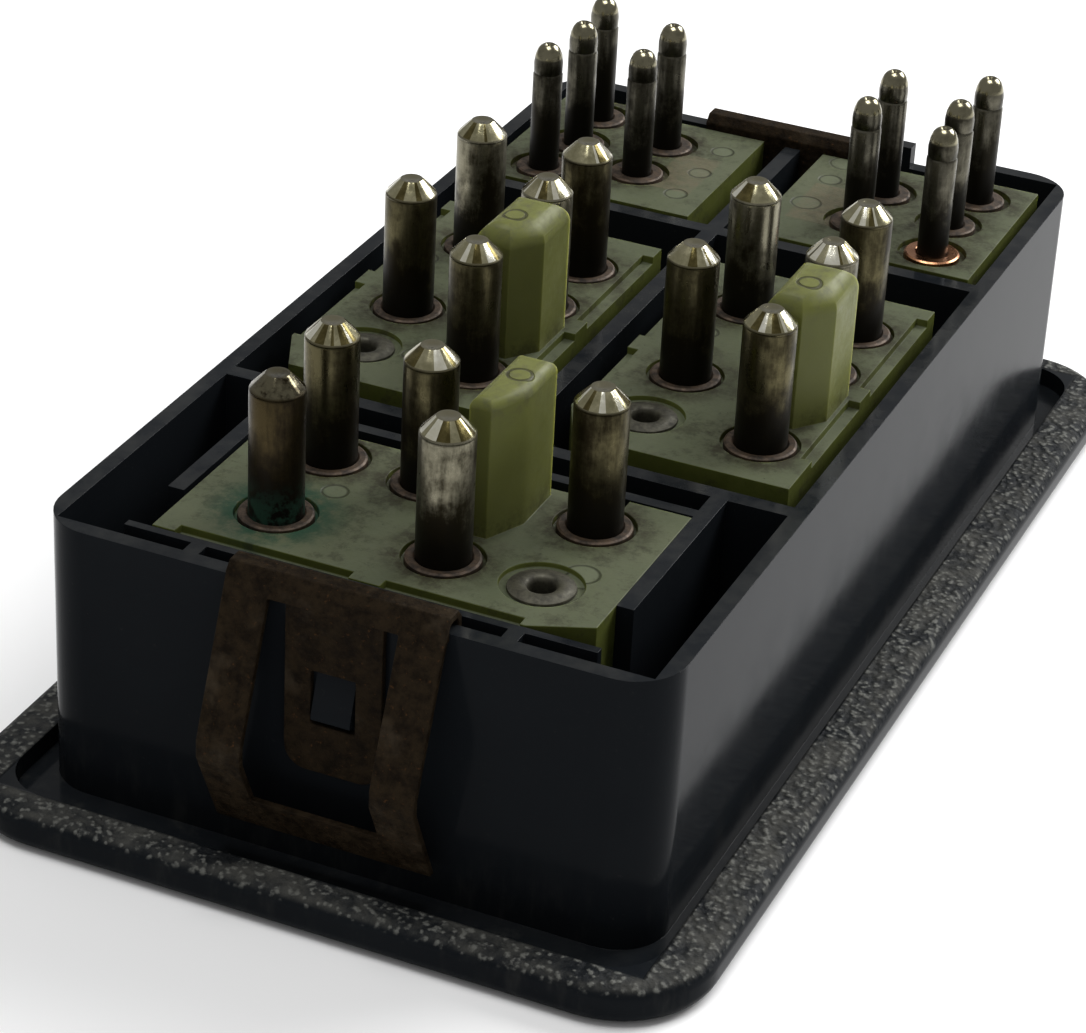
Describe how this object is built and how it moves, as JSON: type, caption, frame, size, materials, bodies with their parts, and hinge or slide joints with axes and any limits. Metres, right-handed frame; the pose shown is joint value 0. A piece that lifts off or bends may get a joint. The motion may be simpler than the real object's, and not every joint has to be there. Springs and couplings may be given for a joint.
{
  "type": "rocker switch panel",
  "caption": "Rectangular panel of sprung rocker switches seen from its terminal side: flanged case, keyed plates of round pins, seesaw contacts and spring clips at both ends.",
  "frame": {"origin": "centre of the plane of the panel's front rim, which it lies on", "axes": "+Z from the front rim towards the terminal pins, +Y along the long side towards the small square switches, +X across"},
  "size_m": [0.0574, 0.1054, 0.034],
  "materials": {
    "case_plastic": "satin moulded",
    "clip_steel": "rusted spring sheet",
    "nylon_plate": "natural nylon, aged",
    "pin_metal": "tarnished plating",
    "collar_copper": "dull copper",
    "body_plastic": "natural nylon",
    "rocker_plastic": "satin",
    "pivot_steel": "ground",
    "contact_brass": "stamped",
    "plunger_plastic": "smooth",
    "spring_steel": "drawn wire",
    "eyelet_brass": "tarnished"
  },
  "bodies": {
    "base": {"switch_bezel": "case_plastic", "near_panel_clip": "clip_steel", "far_panel_clip": "clip_steel", "near_terminal_plate": "nylon_plate", "near_terminal_pins": "pin_metal", "near_pin_collars": "collar_copper", "near_switch_body": "body_plastic", "near_pivot_pin": "pivot_steel", "near_contact_strips": "contact_brass", "near_eyelet": "eyelet_brass", "mid_left_terminal_plate": "nylon_plate", "mid_left_terminal_pins": "pin_metal", "mid_left_pin_collars": "collar_copper", "mid_left_switch_body": "body_plastic", "mid_left_pivot_pin": "pivot_steel", "mid_left_contact_strips": "contact_brass", "mid_left_eyelet": "eyelet_brass", "mid_right_terminal_plate": "nylon_plate", "mid_right_terminal_pins": "pin_metal", "mid_right_pin_collars": "collar_copper", "mid_right_switch_body": "body_plastic", "mid_right_pivot_pin": "pivot_steel", "mid_right_contact_strips": "contact_brass", "mid_right_eyelet": "eyelet_brass", "far_left_terminal_plate": "nylon_plate", "far_left_terminal_pins": "pin_metal", "far_left_pin_collars": "collar_copper", "far_left_switch_body": "body_plastic", "far_left_pivot_pin": "pivot_steel", "far_left_contact_strips": "contact_brass", "far_right_terminal_plate": "nylon_plate", "far_right_terminal_pins": "pin_metal", "far_right_pin_collars": "collar_copper", "far_right_switch_body": "body_plastic", "far_right_pivot_pin": "pivot_steel", "far_right_contact_strips": "contact_brass"},
    "near_button": {"near_rocker": "rocker_plastic", "near_plungers": "plunger_plastic", "near_plunger_springs": "spring_steel"},
    "near_seesaw": {"near_contact_blades": "contact_brass"},
    "mid_left_button": {"mid_left_rocker": "rocker_plastic", "mid_left_plungers": "plunger_plastic", "mid_left_plunger_springs": "spring_steel"},
    "mid_left_seesaw": {"mid_left_contact_blades": "contact_brass"},
    "mid_right_button": {"mid_right_rocker": "rocker_plastic", "mid_right_plungers": "plunger_plastic", "mid_right_plunger_springs": "spring_steel"},
    "mid_right_seesaw": {"mid_right_contact_blades": "contact_brass"},
    "far_left_button": {"far_left_rocker": "rocker_plastic", "far_left_plungers": "plunger_plastic", "far_left_plunger_springs": "spring_steel"},
    "far_left_seesaw": {"far_left_contact_blades": "contact_brass"},
    "far_right_button": {"far_right_rocker": "rocker_plastic", "far_right_plungers": "plunger_plastic", "far_right_plunger_springs": "spring_steel"},
    "far_right_seesaw": {"far_right_contact_blades": "contact_brass"}
  },
  "joints": [
    {"name": "near_rocker_hinge", "type": "hinge", "parent": "base", "child": "near_button", "pos_m": [0.0002, -0.0333, 0.006], "axis": [0, 1, 0], "range_deg": [-8, 8], "stiffness_Nm_per_rad": 0.03},
    {"name": "near_seesaw_hinge", "type": "hinge", "parent": "base", "child": "near_seesaw", "pos_m": [0.0002, -0.0333, 0.01875], "axis": [0, 1, 0], "range_deg": [-8, 8]},
    {"name": "mid_left_rocker_hinge", "type": "hinge", "parent": "base", "child": "mid_left_button", "pos_m": [-0.0117, -0.0002, 0.006], "axis": [1, 0, 0], "range_deg": [-8, 8], "stiffness_Nm_per_rad": 0.03},
    {"name": "mid_left_seesaw_hinge", "type": "hinge", "parent": "base", "child": "mid_left_seesaw", "pos_m": [-0.0117, -0.0002, 0.01875], "axis": [1, 0, 0], "range_deg": [-8, 8]},
    {"name": "mid_right_rocker_hinge", "type": "hinge", "parent": "base", "child": "mid_right_button", "pos_m": [0.0117, -0.0002, 0.006], "axis": [1, 0, 0], "range_deg": [-8, 8], "stiffness_Nm_per_rad": 0.03},
    {"name": "mid_right_seesaw_hinge", "type": "hinge", "parent": "base", "child": "mid_right_seesaw", "pos_m": [0.0117, -0.0002, 0.01875], "axis": [1, 0, 0], "range_deg": [-8, 8]},
    {"name": "far_left_rocker_hinge", "type": "hinge", "parent": "base", "child": "far_left_button", "pos_m": [-0.0122, 0.032, 0.006], "axis": [1, 0, 0], "range_deg": [-8, 8], "stiffness_Nm_per_rad": 0.03},
    {"name": "far_left_seesaw_hinge", "type": "hinge", "parent": "base", "child": "far_left_seesaw", "pos_m": [-0.0122, 0.032, 0.01875], "axis": [1, 0, 0], "range_deg": [-8, 8]},
    {"name": "far_right_rocker_hinge", "type": "hinge", "parent": "base", "child": "far_right_button", "pos_m": [0.0122, 0.032, 0.006], "axis": [1, 0, 0], "range_deg": [-8, 8], "stiffness_Nm_per_rad": 0.03},
    {"name": "far_right_seesaw_hinge", "type": "hinge", "parent": "base", "child": "far_right_seesaw", "pos_m": [0.0122, 0.032, 0.01875], "axis": [1, 0, 0], "range_deg": [-8, 8]}
  ],
  "couplings": [
    {"joint": "near_seesaw_hinge", "follows": "near_rocker_hinge", "ratio": -1},
    {"joint": "mid_left_seesaw_hinge", "follows": "mid_left_rocker_hinge", "ratio": -1},
    {"joint": "mid_right_seesaw_hinge", "follows": "mid_right_rocker_hinge", "ratio": -1},
    {"joint": "far_left_seesaw_hinge", "follows": "far_left_rocker_hinge", "ratio": -1},
    {"joint": "far_right_seesaw_hinge", "follows": "far_right_rocker_hinge", "ratio": -1}
  ]
}
